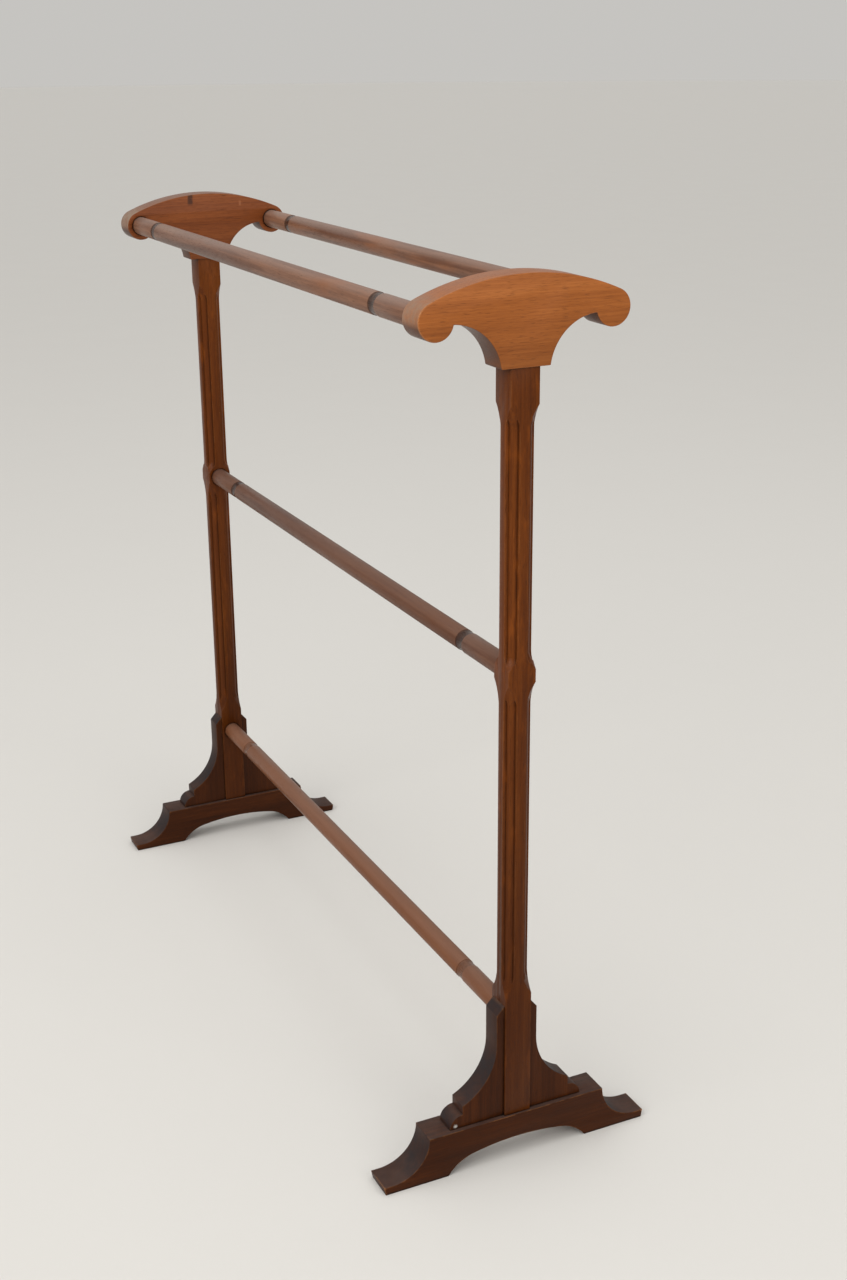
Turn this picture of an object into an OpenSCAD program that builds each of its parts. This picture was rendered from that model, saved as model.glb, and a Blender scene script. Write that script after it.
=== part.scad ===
// Valet stand: two end frames joined by four round rails.
// Millimetres, +Z up. The origin is on the floor under the middle of the stand.
// X runs along the rails and Y along the feet.

/* [Overall] */
// Height of the crest tops above the floor
stand_h = 780; // [680:5:940]
// Distance between the centre lines of the two posts
post_spacing = 737; // [560:1:900]
// Gap left between a tenon or peg and its hole, across both sides
joint_gap = 0.1; // [0.05:0.05:0.4]

/* [Crests] */
// How far a crest stands proud of the post, on each face
crest_ledge = 1.25; // [0:0.25:4]
// Height of a crest from its foot to its top
crest_h = 71; // [62:1:86]
// Width of the crest where it sits on the post
crest_stem_w = 42.5; // [32:0.5:54]
// Depth of the scroll centres below the top of the crest
scroll_drop = 31; // [25:0.5:39]
// Radius of the round scroll at each end
scroll_r = 15; // [12:0.5:18]
// Radius of the hollow under each arm
crest_hollow_r = 42.5; // [34:0.5:54]
// Depth of the hollow's centre below the crest's lower end
crest_hollow_drop = 5.5; // [0:0.5:11]

/* [Posts] */
// Width of the square posts
post_w = 25; // [21:0.5:32]
// Length of the square block under the crest
top_block_h = 29; // [18:1:45]
// Height of the square base block above the foot
base_block_h = 119; // [90:1:150]
// Length of the square block at the middle rail
middle_block_h = 11; // [4:0.5:22]
// How much of each face the moulding on a corner takes off
mould_w = 8.2; // [6.6:0.1:9]
// Diameter of the bead along each moulding
bead_d = 10.6; // [8:0.2:11]
// How much wider the moulding is on each face than the flats it runs out into
mould_step = 0.3; // [0.2:0.1:0.8]
// Depth of the bead's top below the flat of a run-out
bead_drop = 0.4; // [0.2:0.1:0.8]
// Radius of the hollow that runs a moulding out into a square block
run_out_r = 40; // [32:1:60]
// Radius of the hollow at each end of a bead
bead_end_r = 10; // [6:1:16]
// How far the upper beads run down past the shaft, towards the middle rail
middle_bead_run = 6; // [0:0.5:8]
// How far the upper beads run up past the shaft, towards the crest
top_bead_run = 2; // [0:0.5:6]

/* [Feet] */
// Length of each foot
foot_len = 262; // [220:2:320]
// How far a foot stands proud of the post, on each face
foot_ledge = 1.75; // [0:0.25:4]
// Height of each foot
foot_h = 43.5; // [37:0.5:54]
// Height of the toe at the tip
toe_h = 7.5; // [5:0.5:12]
// Length of the level part of the toe
toe_flat = 7.5; // [4:0.5:14]
// How far the tip leans out over its lower edge
toe_lean = 1.5; // [0:0.5:3]
// Radius of the scoop above each toe
scoop_r = 36.5; // [30:0.5:43]
// Height of the arch under the foot
arch_h = 20.5; // [9:0.5:23]
// Radius of the middle of the arch
arch_mid_r = 230; // [180:5:350]
// Radius of the two ends of the arch
arch_end_r = 40; // [27:1:54]
// Half length of the middle of the arch
arch_mid_half = 44; // [27:1:54]

/* [Brackets] */
// How far a bracket is set back from the post, on each face
bracket_setback = 2.25; // [0.5:0.25:5]
// Height of a bracket where it meets the post
bracket_h = 110.5; // [90:0.5:142]
// Drop of the sloping top of the bracket
bracket_slope = 8; // [4:0.5:12]
// Width of the bracket at its narrow top
bracket_waist = 7.25; // [4:0.5:12]
// Height at which the curve of the bracket begins
bracket_curve_z = 72.5; // [54:0.5:88]
// Radius of the curve of the bracket
bracket_curve_r = 56.5; // [45:0.5:70]
// Level foot top left bare beyond the bracket
bracket_margin = 21.5; // [10:0.5:32]
// Radius of the small roll at the bottom of the bracket
roll_r = 12.5; // [7:0.5:16]

/* [Rails] */
// Distance between the centre lines of the two top rails
top_rail_spacing = 152; // [124:2:178]
// Diameter of the top rails
top_rail_d = 19; // [14:0.5:23]
// Diameter of the middle rail
middle_rail_d = 19; // [14:0.5:22]
// Diameter of the low rail
low_rail_d = 18.5; // [13:0.5:21]
// Height of the middle rail's centre line above the floor
middle_rail_z = 457; // [370:1:500]
// Distance of the low rail's centre line below the top of the base block
low_rail_drop = 27; // [13:1:54]
// Distance from a post's centre line to the middle of a rail's ring
ring_offset = 84; // [54:1:142]
// Width of the turned ring
ring_w = 11.5; // [5:0.5:18]
// Depth of the turned ring
ring_depth = 0.5; // [0.2:0.1:1.5]

/* [Joints] */
// Diameter of the round tenon on a rail end
rail_tenon_d = 11; // [8:0.5:12]
// Length of the round tenon on a rail end
rail_tenon_len = 12.5; // [9:0.5:16]
// Depth to which the full rail is let into its socket
rail_housing = 1.5; // [0.5:0.5:3]
// Thickness of the tenons on a post
post_tenon_t = 10; // [7:0.5:13]
// Width of the tenons on a post
post_tenon_w = 16; // [12:0.5:20]
// Length of the tenon in the crest
crest_tenon_len = 20; // [12:1:27]
// Wood left between the tenon in the foot and the arch below it
foot_web = 7; // [4:0.5:12]
// Diameter of the pegs that hold the brackets
dowel_d = 6; // [4:0.5:7]
// Length of the pegs that hold the brackets
dowel_len = 18; // [12:1:22]
// Height of the upper peg above the foot
post_dowel_z = 29; // [18:1:44]
// Distance of the lower peg from the centre of the roll
foot_dowel_inset = 12.5; // [8:0.5:20]

/* [Hidden] */
$fn = 96;
// Piece to draw
// Overlap that carries a cut clear of the face it opens
over = 1;
post_x = post_spacing / 2;
post_face = post_w / 2;
crest_t = post_w + 2 * crest_ledge;
foot_t = post_w + 2 * foot_ledge;
bracket_t = post_w - 2 * bracket_setback;
foot_tenon_len = foot_h - arch_h - foot_web;

crest_z = stand_h - crest_h;
scroll_y = top_rail_spacing / 2;
scroll_z = stand_h - scroll_drop;
// The top arc touches both scrolls
top_arc_r = (pow(scroll_y, 2) + pow(scroll_drop, 2) - pow(scroll_r, 2))
            / (2 * (scroll_drop - scroll_r));
arc_touch_y = scroll_y * top_arc_r / (top_arc_r - scroll_r);
crest_hollow_y = crest_stem_w / 2
                 + sqrt(pow(crest_hollow_r, 2) - pow(crest_hollow_drop, 2));
crest_hollow_z = crest_z - crest_hollow_drop;

// Distances from a post's centre line, out along the diagonal of its section
corner_d = post_face * sqrt(2);
mould_root_d = (post_face - mould_w) * sqrt(2);
mould_flat_d = (corner_d + mould_root_d + mould_step * sqrt(2)) / 2;
run_out_axis_d = mould_flat_d + run_out_r;
bead_axis_d = mould_flat_d - bead_drop - bead_d / 2;
bead_end_axis_d = mould_flat_d - bead_drop + bead_end_r;
// Length over which a moulding runs out into a block, to a hundredth of a millimetre
run_out_len = round(100 * sqrt(pow(run_out_r, 2) - pow(run_out_axis_d - corner_d, 2))) / 100;
shaft_top_z = crest_z - top_block_h - run_out_len;
middle_block_z = middle_rail_z - middle_block_h / 2;
base_top_z = foot_h + base_block_h;
shaft_base_z = base_top_z + run_out_len;
low_rail_z = base_top_z - low_rail_drop;

foot_half = foot_len / 2;
scoop_y = foot_half - toe_flat;
foot_top_half = scoop_y - scoop_r;
// The two end arcs of the arch run smoothly into its middle arc
arch_lean = asin(arch_mid_half / arch_mid_r);
arch_end_y = (arch_mid_r - arch_end_r) * sin(arch_lean);
arch_end_z = arch_h - arch_mid_r + (arch_mid_r - arch_end_r) * cos(arch_lean);

roll_y = foot_top_half - bracket_margin - roll_r;
foot_dowel_y = roll_y - foot_dowel_inset;
curve_y = post_face + bracket_waist + bracket_curve_r;

// Crest outline, with the scrolls at its two ends
module crest_outline() {
    difference() {
        intersection() {
            translate([0, stand_h - top_arc_r])
                circle(r = top_arc_r);
            union() {
                translate([-scroll_y, crest_z])
                    square([2 * scroll_y, crest_h]);
                translate([-arc_touch_y, scroll_z])
                    square([2 * arc_touch_y, scroll_drop]);
            }
        }
        for (side = [-1, 1])
            translate([side * crest_hollow_y, crest_hollow_z])
                circle(r = crest_hollow_r);
        for (side = [-1, 1])
            mirror([side < 0 ? 1 : 0, 0])
                translate([crest_hollow_y, crest_z - over])
                    square([scroll_y, crest_hollow_r - crest_hollow_drop + over]);
    }
    for (side = [-1, 1])
        translate([side * scroll_y, scroll_z])
            circle(r = scroll_r);
}

// Stands a Y, Z outline upright with the given thickness along X
module upright(thickness) {
    rotate([90, 0, 90])
        translate([0, 0, -thickness / 2])
            linear_extrude(thickness)
                children();
}

// Rectangular tenon or mortise, standing on z = 0
module tenon(length, gap) {
    translate([-(post_tenon_t + gap) / 2, -(post_tenon_w + gap) / 2, 0])
        cube([post_tenon_t + gap, post_tenon_w + gap, length]);
}

// Socket cut for one rail end. It opens towards -X at x = 0.
module rail_socket(rail_d) {
    translate([-over, 0, 0])
        rotate([0, 90, 0])
            cylinder(d = rail_d + joint_gap, h = rail_housing + over);
    rotate([0, 90, 0])
        cylinder(d = rail_tenon_d + joint_gap, h = rail_housing + rail_tenon_len + joint_gap);
}

// Crest of the right end frame, centred on x = 0
module crest_blank() {
    difference() {
        upright(crest_t)
            crest_outline();
        for (side = [-1, 1])
            translate([-crest_t / 2, side * scroll_y, scroll_z])
                rail_socket(top_rail_d);
        translate([0, 0, crest_z - over])
            tenon(crest_tenon_len + over + joint_gap, joint_gap);
    }
}

// Section of the flat that a moulding takes off a corner lying along +X
module flat_section() {
    translate([mould_flat_d, -mould_w])
        square([run_out_r, 2 * mould_w]);
}

// Section of the grooves that leave a bead on a corner lying along +X
module bead_section() {
    reach = bead_end_axis_d - mould_root_d - over;
    difference() {
        polygon([[mould_root_d, 0],
                 [mould_root_d + reach, -reach],
                 [mould_root_d + reach, reach]]);
        translate([bead_axis_d, 0])
            circle(d = bead_d);
    }
}

// Pass of a round cutter up a corner lying along +X, with its axis at axis_d
module cutter_pass(axis_d, z_from, z_to) {
    translate([0, 0, z_from])
        linear_extrude(z_to - z_from)
            children();
    for (end = [0, 1])
        translate([axis_d, 0, end == 1 ? z_to : z_from])
            mirror([0, 0, 1 - end])
                rotate([90, 0, 180])
                    rotate_extrude(angle = 90)
                        translate([axis_d, 0])
                            mirror([1, 0])
                                children();
}

// Moulding on every corner, with a bead whose two ends are set apart from it
module moulding(z_from, z_to, bead_from, bead_to) {
    for (corner = [0 : 3])
        rotate([0, 0, 45 + 90 * corner]) {
            cutter_pass(run_out_axis_d, z_from, z_to)
                flat_section();
            cutter_pass(bead_end_axis_d, bead_from, bead_to)
                bead_section();
        }
}

// Post of the right end frame, centred on x = 0
module post_blank() {
    lower_to = middle_block_z - run_out_len;
    upper_from = middle_block_z + middle_block_h + run_out_len;
    difference() {
        union() {
            translate([-post_face, -post_face, foot_h])
                cube([post_w, post_w, crest_z - foot_h]);
            translate([0, 0, foot_h - foot_tenon_len])
                tenon(foot_tenon_len + over, 0);
            translate([0, 0, crest_z - over])
                tenon(crest_tenon_len + over, 0);
        }
        moulding(shaft_base_z, lower_to, shaft_base_z, lower_to);
        moulding(upper_from, shaft_top_z,
                 upper_from - middle_bead_run, shaft_top_z + top_bead_run);
        translate([-post_face, 0, middle_rail_z])
            rail_socket(middle_rail_d);
        translate([-post_face, 0, low_rail_z])
            rail_socket(low_rail_d);
        for (side = [0, 1])
            mirror([0, side, 0])
                post_dowel(joint_gap);
    }
}

// Peg that runs along Y from the post into the back bracket, or its hole
module post_dowel(gap) {
    translate([0, post_face - dowel_len / 2 - gap, foot_h + post_dowel_z])
        rotate([-90, 0, 0])
            cylinder(d = dowel_d + gap, h = dowel_len + 2 * gap);
}

// Peg that runs down from the back bracket into the foot, or its hole
module foot_dowel(gap) {
    translate([0, foot_dowel_y, foot_h - dowel_len / 2 - gap])
        cylinder(d = dowel_d + gap, h = dowel_len + 2 * gap);
}

// Foot outline, with a scoop above each toe and an arch underneath
module foot_outline() {
    difference() {
        polygon([[toe_lean - foot_half, 0],
                 [foot_half - toe_lean, 0],
                 [foot_half, toe_h],
                 [foot_half, foot_h],
                 [-foot_half, foot_h],
                 [-foot_half, toe_h]]);
        for (side = [-1, 1]) {
            translate([side * scoop_y, toe_h + scoop_r])
                circle(r = scoop_r);
            translate([side * scoop_y - (side < 0 ? scoop_r : 0), toe_h])
                square([scoop_r, foot_h]);
            translate([side * arch_end_y, arch_end_z])
                circle(r = arch_end_r);
        }
        intersection() {
            translate([0, arch_h - arch_mid_r])
                circle(r = arch_mid_r);
            translate([-arch_mid_half, -over])
                square([2 * arch_mid_half, arch_h + 2 * over]);
        }
    }
}

// Foot of the right end frame, centred on x = 0
module foot_blank() {
    difference() {
        upright(foot_t)
            foot_outline();
        translate([0, 0, foot_h - foot_tenon_len - joint_gap])
            tenon(foot_tenon_len + joint_gap + over, joint_gap);
        for (side = [0, 1])
            mirror([0, side, 0])
                foot_dowel(joint_gap);
    }
}

// Back bracket outline, with its post edge and its foot edge square
module bracket_outline() {
    polygon([[post_face, foot_h + bracket_curve_z],
             [post_face + bracket_waist, foot_h + bracket_curve_z],
             [post_face + bracket_waist, foot_h + bracket_h - bracket_slope],
             [post_face, foot_h + bracket_h]]);
    difference() {
        translate([post_face, foot_h])
            square([roll_y - post_face, bracket_curve_z]);
        translate([curve_y, foot_h + bracket_curve_z])
            circle(r = bracket_curve_r);
    }
    intersection() {
        translate([roll_y, foot_h])
            circle(r = roll_r);
        translate([post_face, foot_h])
            square([roll_y + roll_r, roll_r]);
    }
}

// Back bracket of the right end frame, centred on x = 0
module bracket_blank() {
    difference() {
        upright(bracket_t)
            bracket_outline();
        post_dowel(joint_gap);
        foot_dowel(joint_gap);
    }
}

// Rail between two faces that are reach from the middle of the stand
module rail(rail_d, reach) {
    body_half = reach + rail_housing;
    difference() {
        union() {
            translate([-body_half, 0, 0])
                rotate([0, 90, 0])
                    cylinder(d = rail_d, h = 2 * body_half);
            translate([-body_half - rail_tenon_len, 0, 0])
                rotate([0, 90, 0])
                    cylinder(d = rail_tenon_d, h = 2 * (body_half + rail_tenon_len));
        }
        for (side = [-1, 1])
            translate([side * (post_x - ring_offset) - ring_w / 2, 0, 0])
                rotate([0, 90, 0])
                    difference() {
                        cylinder(d = rail_d + over, h = ring_w);
                        cylinder(d = rail_d - 2 * ring_depth, h = ring_w);
                    }
    }
}

// Sends a piece of the right end frame to the right or to the left
module end_frame(side) {
    mirror([side < 0 ? 1 : 0, 0, 0])
        translate([post_x, 0, 0])
            children();
}

module crest(side) {
    color("Peru")
        end_frame(side)
            crest_blank();
}

module post(side) {
    color("SaddleBrown")
        end_frame(side)
            post_blank();
}

module foot(side) {
    color("Sienna")
        end_frame(side)
            foot_blank();
}

module bracket(side, back) {
    color("Maroon")
        end_frame(side)
            mirror([0, back ? 0 : 1, 0])
                bracket_blank();
}

module top_rail(side) {
    color("RosyBrown")
        translate([0, side * scroll_y, scroll_z])
            rail(top_rail_d, post_x - crest_t / 2);
}

module middle_rail() {
    color("RosyBrown")
        translate([0, 0, middle_rail_z])
            rail(middle_rail_d, post_x - post_face);
}

module low_rail() {
    color("RosyBrown")
        translate([0, 0, low_rail_z])
            rail(low_rail_d, post_x - post_face);
}

module bracket_dowels() {
    color("BurlyWood")
        for (side = [-1, 1])
            end_frame(side)
                for (back = [0, 1])
                    mirror([0, 1 - back, 0]) {
                        post_dowel(0);
                        foot_dowel(0);
                    }
}

crest(1);  // right_crest
crest(-1);  // left_crest
post(1);  // right_post
post(-1);  // left_post
foot(1);  // right_foot
foot(-1);  // left_foot
bracket(1, false);  // right_front_bracket
bracket(1, true);  // right_back_bracket
bracket(-1, false);  // left_front_bracket
bracket(-1, true);  // left_back_bracket
top_rail(-1);  // front_top_rail
top_rail(1);  // back_top_rail
middle_rail();
low_rail();
bracket_dowels();
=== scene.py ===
"""Valet stand in polished mahogany: finished boards, posts and rails, and the stage they stand on."""

import math

import bpy
from bpy.props import FloatProperty, FloatVectorProperty, PointerProperty
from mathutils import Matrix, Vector


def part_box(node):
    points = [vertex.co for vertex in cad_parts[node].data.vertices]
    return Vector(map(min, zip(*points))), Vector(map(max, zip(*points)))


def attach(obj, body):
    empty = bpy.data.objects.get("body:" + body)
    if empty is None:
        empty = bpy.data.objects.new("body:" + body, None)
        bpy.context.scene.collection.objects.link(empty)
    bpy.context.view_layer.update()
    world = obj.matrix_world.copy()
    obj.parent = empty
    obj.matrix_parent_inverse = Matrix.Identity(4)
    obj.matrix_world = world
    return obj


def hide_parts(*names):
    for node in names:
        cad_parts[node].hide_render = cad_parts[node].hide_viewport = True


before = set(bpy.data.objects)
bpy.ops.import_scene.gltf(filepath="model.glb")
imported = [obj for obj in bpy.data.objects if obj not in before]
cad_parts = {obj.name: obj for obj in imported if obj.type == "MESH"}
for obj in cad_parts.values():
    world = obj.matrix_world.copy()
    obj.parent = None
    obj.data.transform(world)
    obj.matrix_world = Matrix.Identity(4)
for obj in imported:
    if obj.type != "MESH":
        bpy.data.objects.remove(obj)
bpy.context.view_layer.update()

bl_info = {
    "name": "Valet Stand",
    "version": (1, 0, 0),
    "blender": (4, 5, 0),
    "location": "View3D > Sidebar > Valet Stand",
    "description": "Finishes a mahogany valet stand and sets its stage",
    "category": "Object",
}

MM = 0.001

CAMERA_PLACE = (1.5152, -0.6275, 0.9544)
CAMERA_TARGET = (0.03625, 0.0760, 0.3670)
CAMERA_ROLL = -0.00904

SIDES = ("right", "left")
BRACKETS = ("right_front_bracket", "right_back_bracket",
            "left_front_bracket", "left_back_bracket")
RAILS = ("front_top_rail", "back_top_rail", "middle_rail", "low_rail")


def linear(red, green, blue):
    """Turns a screen colour with channels from 0 to 255 into scene-linear values."""
    def channel(value):
        value /= 255
        return value / 12.92 if value <= 0.04045 else ((value + 0.055) / 1.055) ** 2.4
    return channel(red), channel(green), channel(blue)


def colour_property(name, description, default):
    return FloatVectorProperty(
        name=name, description=description, subtype="COLOR",
        size=3, min=0.0, max=1.0, default=default)


def length_property(name, description, default):
    return FloatProperty(
        name=name, description=description, subtype="DISTANCE",
        unit="LENGTH", min=0.0, default=default)


def box_mm(node):
    """Lowest and highest corners of a solid, in millimetres."""
    return [[value / MM for value in corner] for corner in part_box(node)]


# Shader writing

class Value:
    """A number socket that can be used in Python arithmetic."""

    def __init__(self, finish, socket):
        self.finish = finish
        self.socket = socket

    def math(self, operation, *others, clamp=False):
        values = [self if other is SELF else other for other in others]
        node = self.finish.node("ShaderNodeMath",
                                {"operation": operation, "use_clamp": clamp}, values)
        return Value(self.finish, node.outputs[0])

    def __add__(self, other):
        return self.math("ADD", SELF, other)

    def __radd__(self, other):
        return self.math("ADD", other, SELF)

    def __sub__(self, other):
        return self.math("SUBTRACT", SELF, other)

    def __rsub__(self, other):
        return self.math("SUBTRACT", other, SELF)

    def __mul__(self, other):
        return self.math("MULTIPLY", SELF, other)

    def __rmul__(self, other):
        return self.math("MULTIPLY", other, SELF)

    def __truediv__(self, other):
        return self.math("DIVIDE", SELF, other)

    def abs(self):
        return self.math("ABSOLUTE", SELF)

    def sqrt(self):
        return self.math("SQRT", SELF)

    def sine(self):
        return self.math("SINE", SELF)

    def clamped(self):
        return self.math("ADD", SELF, 0.0, clamp=True)

    def step(self, low, high):
        """Rises smoothly from 0 at low to 1 at high."""
        node = self.finish.node(
            "ShaderNodeMapRange", {"interpolation_type": "SMOOTHSTEP"},
            {"Value": self, "From Min": low, "From Max": high})
        return Value(self.finish, node.outputs[0])

    def band(self, centre, half, soft):
        """Is 1 within half of centre, and falls to 0 over soft beyond that."""
        return 1 - (self - centre).abs().step(half, half + soft)


SELF = object()


class Finish:
    """Builds one material's nodes."""

    def __init__(self, name):
        self.material = bpy.data.materials.new(name)
        self.material.use_nodes = True
        self.tree = self.material.node_tree
        self.tree.nodes.clear()
        self.output = self.node("ShaderNodeOutputMaterial", {}, {})

    def node(self, kind, settings, inputs):
        """Adds a node. Settings are set first, then sockets get values or links."""
        node = self.tree.nodes.new(kind)
        for key, value in settings.items():
            if key == "stops":
                ramp = node.color_ramp
                while len(ramp.elements) < len(value):
                    ramp.elements.new(0.5)
                for element, (place, colour) in zip(ramp.elements, value):
                    element.position = place
                    element.color = (*colour, 1.0)
            else:
                setattr(node, key, value)
        pairs = inputs.items() if isinstance(inputs, dict) else enumerate(inputs)
        for key, value in pairs:
            if value is None:
                continue
            if isinstance(value, Value):
                value = value.socket
            if isinstance(value, bpy.types.NodeSocket):
                self.tree.links.new(value, node.inputs[key])
            else:
                node.inputs[key].default_value = value
        return node

    def value(self, kind, settings, inputs, output=0):
        return Value(self, self.node(kind, settings, inputs).outputs[output])

    def place(self):
        """Where a point is on the piece, as X, Y and Z in millimetres."""
        here = self.node("ShaderNodeTexCoord", {}, {})
        split = self.node("ShaderNodeSeparateXYZ", {}, [here.outputs["Object"]])
        return [Value(self, split.outputs[axis]) * (1 / MM) for axis in range(3)]

    def vector(self, x, y, z):
        return self.node("ShaderNodeCombineXYZ", {}, [x, y, z]).outputs[0]

    def noise(self, vector, scale=1.0, detail=2.0, roughness=0.5, distortion=0.0):
        return self.value("ShaderNodeTexNoise", {}, {
            "Vector": vector, "Scale": scale, "Detail": detail,
            "Roughness": roughness, "Distortion": distortion})

    def mix(self, share, first, second):
        """Blends two colours by share."""
        node = self.node("ShaderNodeMix", {"data_type": "RGBA"}, {})
        for socket, value in ((node.inputs[0], share), (node.inputs[6], first),
                              (node.inputs[7], second)):
            if isinstance(value, Value):
                value = value.socket
            if isinstance(value, bpy.types.NodeSocket):
                self.tree.links.new(value, socket)
            elif isinstance(value, (int, float)):
                socket.default_value = value
            else:
                socket.default_value = (*value[:3], 1.0)
        return node.outputs[2]

    def bump(self, height, depth, strength=1.0, under=None):
        return self.node("ShaderNodeBump", {}, {
            "Strength": strength, "Distance": depth, "Height": height,
            "Normal": under}).outputs[0]

    def surface(self, **sockets):
        names = {key.replace("_", " "): value for key, value in sockets.items()}
        shader = self.node("ShaderNodeBsdfPrincipled", {}, names)
        self.tree.links.new(shader.outputs[0], self.output.inputs[0])
        return self.material

    def facing(self):
        """Which way the surface faces, as X, Y and Z from -1 to 1."""
        normal = self.node("ShaderNodeNewGeometry", {}, {}).outputs["Normal"]
        split = self.node("ShaderNodeSeparateXYZ", {}, [normal])
        return [Value(self, split.outputs[axis]) for axis in range(3)]

    def corner_occlusion(self, reach):
        """Is 1 deep in a corner between surfaces, and 0 on open faces."""
        shade = self.node("ShaderNodeAmbientOcclusion", {"samples": 8}, {"Distance": reach})
        return 1 - Value(self, shade.outputs["AO"])

    def arris(self, reach):
        """Is 1 on the sharp outer edges of the wood, and 0 on open faces."""
        shade = self.node("ShaderNodeAmbientOcclusion",
                          {"samples": 8, "inside": True, "only_local": True},
                          {"Distance": reach})
        return 1 - Value(self, shade.outputs["AO"])


# Timber

GRAIN_AXES = {"X": (0, 1, 2), "Y": (1, 2, 0), "Z": (2, 1, 0)}


class Timber:
    """Grain of one board, running along X, Y or Z."""

    def __init__(self, finish, grain, pith, ring_gap, stretch=1.0):
        self.finish = finish
        place = finish.place()
        self.x, self.y, self.z = place
        along, face, through = (place[axis] for axis in GRAIN_AXES[grain])
        self.along = along

        def lines(length, width, **settings):
            return finish.noise(finish.vector(
                along * (stretch / length), face * (1 / width), through * (1 / width)),
                **settings)

        sway = (lines(150, 45) - 0.5) * 16
        ripple = (lines(40, 9) - 0.5) * 2.4
        from_pith = face - pith[0] + sway + ripple
        deep = through - pith[1]
        radius = (from_pith * from_pith + deep * deep).sqrt()
        self.rings = (radius * (2 * math.pi / ring_gap)).sine() * 0.5
        self.drift = lines(210, 38, detail=3.0) - 0.5
        self.streaks = lines(70, 2.1, detail=4.0, roughness=0.66) - 0.5
        self.fibre = lines(18, 0.36, detail=3.0, roughness=0.6) - 0.5
        self.pores = lines(7.5, 0.42, detail=1.0).step(0.61, 0.7)

    def figure(self, rings=0.3, drift=0.9, streaks=1.0, fibre=0.5):
        """How light the wood is, from 0 to 1."""
        return (self.rings * rings + self.drift * drift + self.streaks * streaks
                + self.fibre * fibre + 0.5).clamped()

    def height(self):
        """Open pores and raised fibres, for bump."""
        return self.fibre * 0.5 + self.streaks * 0.6 - self.pores * 0.8


def soft_patches(finish, size, low, high):
    """Patches with soft edges, each about size millimetres across."""
    here = finish.node("ShaderNodeTexCoord", {}, {}).outputs["Object"]
    return finish.noise(here, 1 / (size * MM), 4.0, 0.6).step(low, high)


# How far the edge wear, and the old wax with painted shade in corners and grooves, reach from their
# edge or corner
ARRIS_REACH = 2.6 * MM
CORNER_REACH = 11 * MM
GROOVE_REACH = 3.5 * MM


def polished(name, grain, dark, middle, light, settings, *, pith, ring_gap,
             stretch=1.0, figure=None, pore_shade=0.45, gloss=0.38, coat=0.04,
             shine=0.16, wear=0.8, bloom_and_sheen=0.35, shade_and_wax=0.8, marks=None):
    """Old polished mahogany with worn arrises, old wax and painted shade in its corners and grooves,
    and bloom with a painted sheen on top.
    """
    finish = Finish(name)
    timber = Timber(finish, grain, pith, ring_gap, stretch)
    tone = timber.figure(**(figure or {}))
    stops = [(0.0, tuple(dark)), (0.5, tuple(middle)), (1.0, tuple(light))]
    colour = finish.node("ShaderNodeValToRGB", {"stops": stops}, [tone]).outputs[0]
    colour = finish.mix(timber.pores * pore_shade, colour,
                        [channel * 0.35 for channel in dark])

    rub = soft_patches(finish, 9, 0.36, 0.62)
    edge = (finish.arris(ARRIS_REACH).step(0.22, 0.62) * rub * wear).clamped()
    worn = [a * 0.45 + b * 0.55 for a, b in zip(light, settings.worn_wood)]
    colour = finish.mix(edge, colour, worn)

    # Old wax and painted shade: corners and grooves darken towards the wax colour the more enclosed
    # they are.
    corner = finish.corner_occlusion(CORNER_REACH).step(0.3, 0.92) * 0.8
    groove_shade = finish.corner_occlusion(GROOVE_REACH).step(0.16, 0.58) * 0.9
    corner = ((corner + groove_shade) * shade_and_wax).clamped()
    colour = finish.mix(corner, colour, settings.wax_and_corner_shade)

    # Bloom and painted sheen: surfaces that face up turn greyer and paler.
    up = finish.facing()[2].step(0.3, 1.0)
    sheen = up * (soft_patches(finish, 26, 0.25, 0.7) * 0.6 + 0.4) * bloom_and_sheen
    colour = finish.mix(sheen.clamped(), colour, settings.bloom_and_sheen)

    handled = soft_patches(finish, 55, 0.3, 0.75)
    rough = (gloss + timber.streaks * 0.10 + sheen * 0.22 + edge * 0.12 + corner * 0.15
             - handled * 0.06 + timber.pores * 0.12)
    height = timber.height()
    if marks:
        colour, rough, height = marks(finish, timber, settings, colour, rough, height)
    waves = finish.noise(finish.vector(timber.x * 0.03, timber.y * 0.03, timber.z * 0.03),
                         detail=1.0)
    uneven = finish.bump(waves, 0.5 * MM, 0.6)
    normal = finish.bump(height, 0.06 * MM, 0.8, uneven)
    return finish.surface(
        Base_Color=colour, Roughness=rough.clamped(), Normal=normal,
        Coat_Weight=coat, Coat_Roughness=0.22, Specular_IOR_Level=shine)


# Shapes

def alone(piece):
    """Makes this the only selected object."""
    bpy.ops.object.select_all(action="DESELECT")
    piece.select_set(True)
    bpy.context.view_layer.objects.active = piece


WELD = 0.004 * MM
FLAT_ANGLE = math.radians(0.6)
SHARP_ANGLE = math.radians(28)
SMOOTH_ANGLE = math.radians(32)


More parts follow.
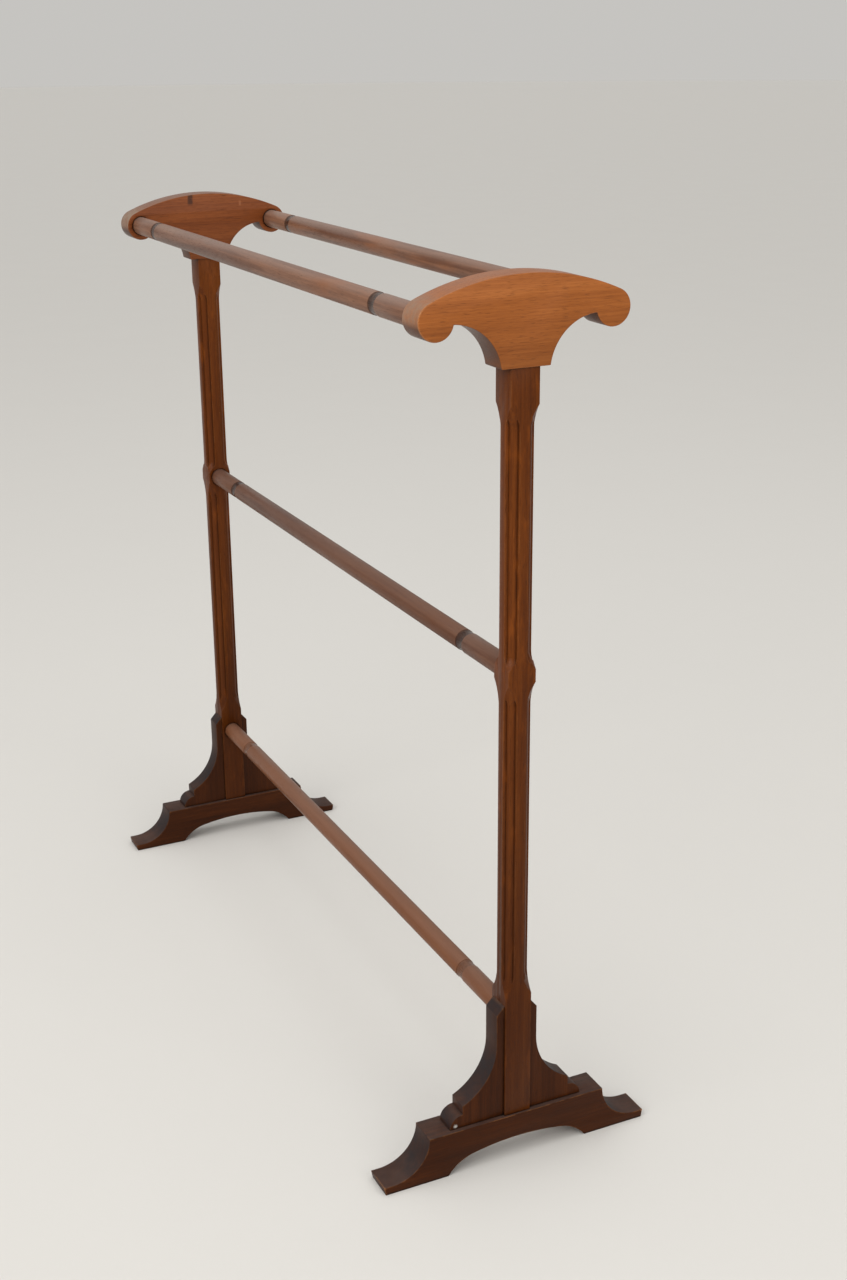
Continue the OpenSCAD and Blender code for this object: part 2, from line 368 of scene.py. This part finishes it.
def wrought_copy(node, name, easing, steps=3):
    """Copies a board, joins its loose triangles into whole faces and eases its edges."""
    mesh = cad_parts[node].data.copy()
    piece = bpy.data.objects.new(name, mesh)
    bpy.context.scene.collection.objects.link(piece)
    mesh.name = name
    mesh.materials.clear()
    alone(piece)
    bpy.ops.object.mode_set(mode="EDIT")
    bpy.ops.mesh.customdata_custom_splitnormals_clear()
    bpy.ops.mesh.select_all(action="SELECT")
    bpy.ops.mesh.remove_doubles(threshold=WELD)
    bpy.ops.mesh.dissolve_limited(angle_limit=FLAT_ANGLE)
    bpy.ops.mesh.select_all(action="DESELECT")
    bpy.ops.mesh.select_mode(type="EDGE")
    bpy.ops.mesh.edges_select_sharp(sharpness=SHARP_ANGLE)
    bpy.ops.mesh.bevel(offset=easing, offset_type="OFFSET", segments=steps,
                       profile=0.5, clamp_overlap=True)
    bpy.ops.mesh.select_mode(type="FACE")
    bpy.ops.object.mode_set(mode="OBJECT")
    bpy.ops.object.shade_smooth_by_angle(angle=SMOOTH_ANGLE)
    return piece


def settle(piece, node, material):
    """Puts a finished piece in the place of its solid."""
    piece.data.materials.append(material)
    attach(piece, "root")
    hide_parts(node)


def aim(thing, target, roll=0.0):
    """Turns a camera or a light towards a point."""
    view = Vector(target) - thing.location
    turn = view.to_track_quat("-Z", "Y").to_matrix()
    thing.rotation_euler = turn.to_euler()
    thing.rotation_euler.rotate_axis("Z", roll)


# Settings

class StandTimber(bpy.types.PropertyGroup):
    crest_dark: colour_property(
        "Crest dark grain", "Darkest grain of the right crest", linear(130, 70, 26))
    crest_middle: colour_property(
        "Crest wood", "Main colour of the right crest", linear(157, 89, 37))
    crest_light: colour_property(
        "Crest light grain", "Lightest grain of the right crest", linear(180, 108, 50))
    far_crest_dark: colour_property(
        "Left crest dark grain", "Darkest grain of the left crest", linear(98, 48, 20))
    far_crest_middle: colour_property(
        "Left crest wood", "Main colour of the left crest", linear(124, 65, 29))
    far_crest_light: colour_property(
        "Left crest light grain", "Lightest grain of the left crest", linear(146, 82, 40))
    # Painted shade with dirt, on rims under the crests.
    crest_under_shade_and_dirt: colour_property(
        "Crest underside", "Dirty wood under the crests", linear(58, 38, 30))
    # Grey film with a painted sheen, on the rims towards the crest ends.
    crest_end_sheen: colour_property(
        "Crest end", "Grey film on the ends of the crests", linear(136, 116, 99))
    # Painted shade towards the stem of each crest.
    crest_stem_shade: colour_property(
        "Crest stem", "Darker wood towards the stem", linear(70, 34, 12))
    crest_lip: colour_property(
        "Crest lip", "Pale worn line on the front lip", linear(222, 178, 136))
    crest_stain: colour_property(
        "Crest stain", "Stain on the left crest", linear(34, 24, 22))
    crest_dent: colour_property(
        "Crest dent", "Dent in the left crest", linear(168, 108, 70))
    post_dark: colour_property(
        "Post dark grain", "Darkest grain of the posts", linear(66, 29, 7))
    post_middle: colour_property(
        "Post wood", "Main colour of the posts", linear(95, 46, 10))
    post_light: colour_property(
        "Post light grain", "Lightest grain of the posts", linear(120, 64, 20))
    post_rubbed: colour_property(
        "Post rubbed patch", "Bright patches on the posts", linear(136, 70, 18))
    # Painted shade, towards the floor.
    post_floor_shade: colour_property(
        "Post towards the floor", "Colour the posts darken to", linear(36, 13, 2))
    foot_dark: colour_property(
        "Foot dark grain", "Darkest grain of the feet", linear(40, 17, 5))
    foot_middle: colour_property(
        "Foot wood", "Main colour of the feet", linear(61, 28, 7))
    foot_light: colour_property(
        "Foot light grain", "Lightest grain of the feet", linear(86, 43, 14))
    # Painted sheen with dust, on the rims of feet and brackets.
    foot_sheen: colour_property(
        "Foot film", "Grey film on the edges of feet and brackets", linear(40, 37, 39))
    fleck: colour_property(
        "Fleck", "Fleck of paint by one roll", linear(196, 196, 192))
    rail_dark: colour_property(
        "Rail dark grain", "Darkest grain of the rails", linear(90, 61, 46))
    rail_middle: colour_property(
        "Rail wood", "Main colour of the rails", linear(122, 86, 67))
    rail_light: colour_property(
        "Rail light grain", "Lightest grain of the rails", linear(150, 109, 84))
    rail_patch: colour_property(
        "Rail warm patch", "Wood where the grey bloom has rubbed away", linear(134, 82, 48))
    # Also darkens the middle and low rails as painted shade.
    rail_streak_and_shade: colour_property(
        "Rail dark streak", "Dark streaks along the rails", linear(74, 40, 24))
    # Painted sheen along the rail tops.
    rail_sheen: colour_property(
        "Rail film", "Grey film along the tops of the rails", linear(150, 130, 120))
    ring_stain: colour_property(
        "Ring stain", "Stain in the turned rings", linear(44, 29, 25))
    worn_wood: colour_property(
        "Worn wood", "Wood bared on the edges", linear(206, 142, 86))
    # Old wax with painted shade, laid into corners and grooves.
    wax_and_corner_shade: colour_property(
        "Old wax", "Dark wax and dirt in the corners", linear(26, 15, 10))
    # Bloom with a painted sheen, on surfaces that face up.
    bloom_and_sheen: colour_property(
        "Bloom", "Greyish bloom on surfaces that face up", linear(118, 100, 92))
    peg_wood: colour_property(
        "Peg wood", "Pale wood of the hidden pegs", linear(196, 160, 112))


class StandSizes(bpy.types.PropertyGroup):
    board_easing: length_property(
        "Board easing", "Rounding on the edges of crests and feet", 0.9 * MM)
    bracket_easing: length_property(
        "Bracket easing", "Rounding on the edges of the brackets", 0.7 * MM)
    post_easing: length_property(
        "Post easing", "Rounding on the edges of the posts", 0.35 * MM)
    rail_easing: length_property(
        "Rail easing", "Rounding on the shoulders of the rings", 0.2 * MM)
    stain_forward: length_property(
        "Stain forward", "From the middle of the crest forward to the stain", 18.6 * MM)
    stain_half: length_property(
        "Stain half width", "Half the width of the stain", 1.5 * MM)
    stain_drop: length_property(
        "Stain drop", "From the crest's top down to the foot of the stain", 13.8 * MM)
    dent_back: length_property(
        "Dent back", "From the middle of the crest back to the dent", 39.1 * MM)
    dent_drop: length_property(
        "Dent drop", "From the crest's top down to the dent", 12 * MM)
    shade_bottom: length_property(
        "Shade bottom", "Height below which the posts are darkest", 90 * MM)
    shade_top: length_property(
        "Shade top", "Height above which the posts have their full colour", 560 * MM)
    ring_offset: length_property(
        "Ring offset", "From a post's centre to the middle of a ring", 84 * MM)
    ring_width: length_property(
        "Ring width", "Width of the stained ring", 11.5 * MM)


class StagePlan(bpy.types.PropertyGroup):
    floor_shade: colour_property(
        "Floor", "Colour of the plain floor", linear(214, 212, 208))
    air_shade: colour_property(
        "Air", "Colour of the plain surroundings", linear(226, 224, 220))
    air_strength: FloatProperty(
        name="Air strength", description="Strength of the light from the surroundings",
        default=0.74, min=0.0, max=5.0)
    lens: FloatProperty(
        name="Lens", description="Focal length of the camera in millimetres",
        default=48.274, min=10.0, max=200.0)


# Pieces

def rim_share(across):
    """Is 1 on the rim of an upright board and 0 on its faces."""
    return 1 - across.abs().step(0.35, 0.8)


def crest_marks(node, sizes, left):
    """Painted shade with dirt under the rim of a crest, grey film with a painted sheen on its ends,
    painted shade towards its stem, and the stain and dent on the inner face of the left one.
    """
    low, high = box_mm(node)
    bottom, top, end = low[2], high[2], high[1]
    inner_face = high[0]
    stain_y, stain_half = -sizes.stain_forward / MM, sizes.stain_half / MM
    stain_z = top - sizes.stain_drop / MM
    dent_y, dent_z = sizes.dent_back / MM, top - sizes.dent_drop / MM

    def rim_shade_and_sheen(finish, grain, colours, colour):
        across, _, up = finish.facing()
        rim = rim_share(across)
        # Painted shade with dirt: rims that face down under the crest are darkened.
        under = rim * (1 - up.step(-0.4, 0.15))
        colour = finish.mix(under * 0.8, colour, colours.crest_under_shade_and_dirt)
        # Grey film and painted sheen: rims that don't face down are greyed towards the crest ends,
        # more on the left crest.
        ends = grain.y.abs().step(end - 25, end - 5) * 0.75 + (0.3 if left else 0.0)
        mottle = soft_patches(finish, 6, 0.3, 0.7) * 0.6 + 0.4
        grey = rim * (1 - under) * ends * mottle
        colour = finish.mix(grey.clamped(), colour, colours.crest_end_sheen)
        # Painted shade: the crest darkens towards the bottom of its stem.
        stem = 1 - grain.z.step(bottom - 1, bottom + 43)
        return finish.mix(stem * 0.32, colour, colours.crest_stem_shade)

    def right_marks(finish, grain, colours, colour, rough, height):
        colour = rim_shade_and_sheen(finish, grain, colours, colour)
        front = 1 - grain.y.step(5 - end, 21 - end)
        lip = finish.arris(2.2 * MM).step(0.2, 0.5) * front
        colour = finish.mix((lip * 0.7).clamped(), colour, colours.crest_lip)
        return colour, rough, height

    def left_marks(finish, grain, colours, colour, rough, height):
        colour = rim_shade_and_sheen(finish, grain, colours, colour)
        ragged = (soft_patches(finish, 5, 0.2, 0.8) - 0.5) * 1.2
        faded = soft_patches(finish, 7, 0.25, 0.75) * 0.3 + 0.62
        stain = ((grain.y + ragged).band(stain_y, stain_half, 2.4)
                 * grain.z.step(stain_z, stain_z + 5.3))
        stain = stain * finish.facing()[0].step(0.2, 0.9) * faded
        colour = finish.mix(stain.clamped(), colour, colours.crest_stain)
        inner = grain.x.step(inner_face - 1.75, inner_face - 0.25)
        dent = grain.y.band(dent_y, 0.6, 1.3) * grain.z.band(dent_z, 1.4, 2.4) * inner
        colour = finish.mix((dent * 0.4).clamped(), colour, colours.crest_dent)
        return colour, rough + stain * 0.1, height - dent

    return left_marks if left else right_marks


def foot_marks(finish, grain, colours, colour, rough, height):
    """Painted cool grey sheen with dust on the edges of feet and brackets, and a fleck of paint by
    one roll.
    """
    across, _, up = finish.facing()
    # Painted sheen with dust: rims that face up or sideways turn cool grey, less on flat tops.
    rim = rim_share(across) * up.step(-0.3, 0.4)
    hollow = 1 - up.step(0.75, 0.98) * 0.5
    sheen = rim * hollow * (soft_patches(finish, 14, 0.3, 0.75) * 0.4 + 0.55)
    colour = finish.mix(sheen, colour, colours.foot_sheen)

    low, high = box_mm("right_front_bracket")
    x, y, z = grain.x - (high[0] + 0.75), grain.y - (low[1] + 5.5), grain.z - (low[2] + 3)
    ragged = soft_patches(finish, 2, 0.2, 0.8) * 1.6
    fleck = 1 - ((x * x + y * y + z * z).sqrt() + ragged).step(1.2, 3.4)
    colour = finish.mix(fleck * 0.8, colour, colours.fleck)
    return colour, rough + sheen * 0.15, height


def post_marks(sizes):
    """Rubbed orange patches, and painted shade that darkens the posts towards the floor."""
    bottom, top = sizes.shade_bottom / MM, sizes.shade_top / MM

    def marks(finish, grain, colours, colour, rough, height):
        rubbed = finish.noise(finish.vector(
            grain.x * 0.12, grain.y * 0.12, grain.z * 0.035), detail=4.0).step(0.55, 0.72)
        colour = finish.mix(rubbed * 0.4, colour, colours.post_rubbed)
        # Painted shade: the posts darken towards the floor.
        low = 1 - grain.z.step(bottom, top)
        colour = finish.mix(low * 0.5, colour, colours.post_floor_shade)
        return colour, rough - rubbed * 0.04, height
    return marks


def rail_marks(sizes):
    """Streaks and warm patches along the rails, painted shade on the middle and low rails, a painted
    sheen along their tops, and the dark stain in their rings.
    """
    low_corner, high_corner = box_mm("right_post")
    ring_x = (low_corner[0] + high_corner[0]) / 2 - sizes.ring_offset / MM
    half_ring = sizes.ring_width / 2 / MM
    middle_z = sum(corner[2] for corner in box_mm("middle_rail")) / 2
    low_top = box_mm("low_rail")[1][2]

    def marks(finish, grain, colours, colour, rough, height):
        patch = finish.noise(finish.vector(
            grain.x * 0.007, grain.y * 0.03, grain.z * 0.03), detail=4.0).step(0.5, 0.68)
        colour = finish.mix((patch * 0.75).clamped(), colour, colours.rail_patch)
        streak = finish.noise(finish.vector(
            grain.x * 0.004, grain.y * 0.09, grain.z * 0.09), detail=3.0).step(0.54, 0.64)
        colour = finish.mix(streak * 0.5, colour, colours.rail_streak_and_shade)
        # The low rail is turned warmer, and it and the middle rail are darkened with painted shade.
        low = 1 - grain.z.step(low_top + 50, low_top + 150)
        middle = grain.z.band(middle_z, 30, 10)
        colour = finish.mix(low * 0.6, colour, colours.rail_patch)
        colour = finish.mix(low * 0.35 + middle * 0.6, colour, colours.rail_streak_and_shade)
        # Painted sheen along the tops of the rails, weaker on the middle and low rails.
        sheen = finish.facing()[2].step(0.3, 1.0) * (1 - middle * 0.7 - low * 0.6) * 0.35
        colour = finish.mix(sheen, colour, colours.rail_sheen)
        ring = grain.x.abs().band(ring_x, half_ring - 0.8, 1.4)
        worn = soft_patches(finish, 4, 0.3, 0.75) * 0.25 + low * 0.5
        colour = finish.mix((ring * (0.92 - worn)).clamped(), colour, colours.ring_stain)
        return colour, rough - ring * 0.16, height
    return marks


class STAND_OT_crests(bpy.types.Operator):
    """Finish the two crest boards"""
    bl_idname = "stand.crests"
    bl_label = "Crests"

    def execute(self, context):
        timber, sizes = context.scene.stand_timber, context.scene.stand_sizes
        looks = (
            ("right_crest", "right_crest_board", timber.crest_dark, timber.crest_middle,
             timber.crest_light, False),
            ("left_crest", "left_crest_board", timber.far_crest_dark,
             timber.far_crest_middle, timber.far_crest_light, True))
        for node, name, dark, middle, light, left in looks:
            piece = wrought_copy(node, name, sizes.board_easing)
            look = polished(
                node + "_mahogany", "Y", dark, middle, light, timber,
                pith=(640, 30), ring_gap=5.5, stretch=0.8,
                figure={"rings": 0.16, "drift": 0.7, "streaks": 1.1, "fibre": 0.75},
                pore_shade=0.5, gloss=0.4, wear=0.9, bloom_and_sheen=0.4,
                marks=crest_marks(node, sizes, left))
            settle(piece, node, look)
        return {"FINISHED"}


class STAND_OT_posts(bpy.types.Operator):
    """Finish the two posts"""
    bl_idname = "stand.posts"
    bl_label = "Posts"

    def execute(self, context):
        timber, sizes = context.scene.stand_timber, context.scene.stand_sizes
        look = polished(
            "post_mahogany", "Z", timber.post_dark, timber.post_middle,
            timber.post_light, timber, pith=(-70, 300), ring_gap=6.5,
            figure={"rings": 0.14, "drift": 0.9, "streaks": 0.9, "fibre": 0.4},
            gloss=0.36, coat=0.02, shine=0.09, wear=0.4, bloom_and_sheen=0.25,
            shade_and_wax=0.9, marks=post_marks(sizes))
        for side in SIDES:
            node = side + "_post"
            piece = wrought_copy(node, side + "_post_turned", sizes.post_easing, steps=2)
            settle(piece, node, look)
        return {"FINISHED"}


class STAND_OT_feet(bpy.types.Operator):
    """Finish the two sledge feet"""
    bl_idname = "stand.feet"
    bl_label = "Feet"

    def execute(self, context):
        timber, sizes = context.scene.stand_timber, context.scene.stand_sizes
        look = polished(
            "foot_mahogany", "Y", timber.foot_dark, timber.foot_middle,
            timber.foot_light, timber, pith=(-60, 20), ring_gap=6.0,
            figure={"rings": 0.14, "drift": 1.0, "streaks": 0.9, "fibre": 0.4},
            gloss=0.4, coat=0.02, shine=0.09, wear=0.8, bloom_and_sheen=0.3,
            shade_and_wax=0.8, marks=foot_marks)
        for side in SIDES:
            node = side + "_foot"
            piece = wrought_copy(node, side + "_foot_sledge", sizes.board_easing)
            settle(piece, node, look)
        return {"FINISHED"}


class STAND_OT_brackets(bpy.types.Operator):
    """Finish the four brackets"""
    bl_idname = "stand.brackets"
    bl_label = "Brackets"

    def execute(self, context):
        timber, sizes = context.scene.stand_timber, context.scene.stand_sizes
        look = polished(
            "bracket_mahogany", "Z", timber.foot_dark, timber.foot_middle,
            timber.foot_light, timber, pith=(20, 320), ring_gap=7.0,
            figure={"rings": 0.14, "drift": 0.9, "streaks": 0.8, "fibre": 0.4},
            gloss=0.4, coat=0.02, shine=0.09, wear=0.35, bloom_and_sheen=0.25,
            shade_and_wax=0.95, marks=foot_marks)
        for node in BRACKETS:
            piece = wrought_copy(node, node + "_carved", sizes.bracket_easing)
            settle(piece, node, look)
        return {"FINISHED"}


class STAND_OT_rails(bpy.types.Operator):
    """Finish the four round rails"""
    bl_idname = "stand.rails"
    bl_label = "Rails"

    def execute(self, context):
        timber, sizes = context.scene.stand_timber, context.scene.stand_sizes
        look = polished(
            "rail_mahogany", "X", timber.rail_dark, timber.rail_middle,
            timber.rail_light, timber, pith=(0, 900), ring_gap=4.0,
            figure={"rings": 0.1, "drift": 0.9, "streaks": 1.0, "fibre": 0.5},
            gloss=0.42, coat=0.05, wear=0.0, bloom_and_sheen=0.2, shade_and_wax=0.8, marks=rail_marks(sizes))
        for node in RAILS:
            piece = wrought_copy(node, node + "_rod", sizes.rail_easing, steps=2)
            settle(piece, node, look)
        return {"FINISHED"}


class STAND_OT_pegs(bpy.types.Operator):
    """Finish the hidden pegs"""
    bl_idname = "stand.pegs"
    bl_label = "Pegs"

    def execute(self, context):
        timber = context.scene.stand_timber
        wood = timber.peg_wood
        look = polished(
            "peg_wood", "Z", [c * 0.6 for c in wood], wood, [min(c * 1.3, 1) for c in wood],
            timber, pith=(0, 200), ring_gap=2.5, gloss=0.6, coat=0.0, wear=0.0,
            bloom_and_sheen=0.0, shade_and_wax=0.3)
        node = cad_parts["bracket_dowels"]
        for slot in node.material_slots:
            slot.material = look
        return {"FINISHED"}


class STAND_OT_stage(bpy.types.Operator):
    """Set the floor, the lights and the camera"""
    bl_idname = "stand.stage"
    bl_label = "Stage"

    def execute(self, context):
        plan = context.scene.stage_plan
        self.floor(plan)
        self.air(plan)
        self.lights()
        self.camera(plan)
        return {"FINISHED"}

    def floor(self, plan):
        bpy.ops.object.select_all(action="DESELECT")
        bpy.ops.mesh.primitive_circle_add(
            vertices=96, radius=30.0, fill_type="NGON", location=(0, 0, 0))
        floor = bpy.context.object
        floor.name = "studio_floor"
        finish = Finish("floor_paint")
        here = finish.node("ShaderNodeTexCoord", {}, {}).outputs["Object"]
        mottle = finish.noise(here, 6.0, 4.0, 0.55)
        colour = finish.mix(mottle * 0.12, plan.floor_shade,
                            [channel * 0.86 for channel in plan.floor_shade])
        normal = finish.bump(finish.noise(here, 420.0, 2.0), 0.3 * MM, 0.3)
        floor.data.materials.append(finish.surface(
            Base_Color=colour, Roughness=mottle * 0.1 + 0.6, Normal=normal))

    def air(self, plan):
        world = bpy.data.worlds.new("plain_air")
        world.use_nodes = True
        air = world.node_tree.nodes["Background"]
        air.inputs["Color"].default_value = (*plan.air_shade, 1.0)
        air.inputs["Strength"].default_value = plan.air_strength
        bpy.context.scene.world = world

    def hang(self, name, kind, place, target, power, shade):
        """Hangs one light at a place, turned towards a target."""
        lamp = bpy.data.lights.new(name, kind)
        lamp.energy = power
        lamp.color = shade
        holder = bpy.data.objects.new(name, lamp)
        bpy.context.scene.collection.objects.link(holder)
        holder.location = place
        aim(holder, target)
        return lamp

    def lights(self):
        panels = (
            ("window_light", (1.4, -2.6, 2.3), (0.1, 0.0, 0.4), (2.6, 2.0), 40, (1.0, 0.98, 0.95)),
            ("side_light", (3.0, 0.8, 1.5), (0.1, 0.0, 0.4), (1.8, 1.8), 18, (1.0, 0.97, 0.93)),
            ("ceiling_light", (0.0, 0.4, 3.0), (0.0, 0.0, 0.0), (2.4, 2.4), 12, (0.97, 0.98, 1.0)))
        for name, place, target, size, power, shade in panels:
            panel = self.hang(name, "AREA", place, target, power, shade)
            panel.shape = "RECTANGLE"
            panel.size, panel.size_y = size
        sky = self.hang("wide_light", "SUN", (0.6, -1.6, 3.0), (0, 0, 0), 1.0, (1, 1, 1))
        sky.angle = math.radians(70)

    def camera(self, plan):
        lens = bpy.data.cameras.new("stand_camera")
        lens.sensor_width = 36.0
        lens.lens = plan.lens
        lens.clip_start, lens.clip_end = 0.05, 100.0
        camera = bpy.data.objects.new("stand_camera", lens)
        bpy.context.scene.collection.objects.link(camera)
        camera.location = CAMERA_PLACE
        aim(camera, CAMERA_TARGET, CAMERA_ROLL)
        bpy.context.scene.camera = camera
        bpy.context.scene.view_settings.view_transform = "Standard"


class STAND_PT_sidebar(bpy.types.Panel):
    bl_label = "Valet Stand"
    bl_idname = "STAND_PT_sidebar"
    bl_space_type = "VIEW_3D"
    bl_region_type = "UI"
    bl_category = "Valet Stand"

    def draw(self, context):
        for operator in OPERATORS:
            self.layout.operator(operator.bl_idname)
        for group in (context.scene.stand_sizes, context.scene.stand_timber,
                      context.scene.stage_plan):
            for key in group.__annotations__:
                self.layout.prop(group, key)


GROUPS = (StandTimber, StandSizes, StagePlan)
OPERATORS = (STAND_OT_crests, STAND_OT_posts, STAND_OT_feet, STAND_OT_brackets,
             STAND_OT_rails, STAND_OT_pegs, STAND_OT_stage)


def register():
    for item in (*GROUPS, *OPERATORS, STAND_PT_sidebar):
        bpy.utils.register_class(item)
    bpy.types.Scene.stand_timber = PointerProperty(type=StandTimber)
    bpy.types.Scene.stand_sizes = PointerProperty(type=StandSizes)
    bpy.types.Scene.stage_plan = PointerProperty(type=StagePlan)


def unregister():
    del bpy.types.Scene.stage_plan
    del bpy.types.Scene.stand_sizes
    del bpy.types.Scene.stand_timber
    for item in (STAND_PT_sidebar, *reversed(OPERATORS), *reversed(GROUPS)):
        bpy.utils.unregister_class(item)


def main():
    register()
    bpy.ops.stand.crests()
    bpy.ops.stand.posts()
    bpy.ops.stand.feet()
    bpy.ops.stand.brackets()
    bpy.ops.stand.rails()
    bpy.ops.stand.pegs()
    bpy.ops.stand.stage()


if __name__ == "__main__":
    main()
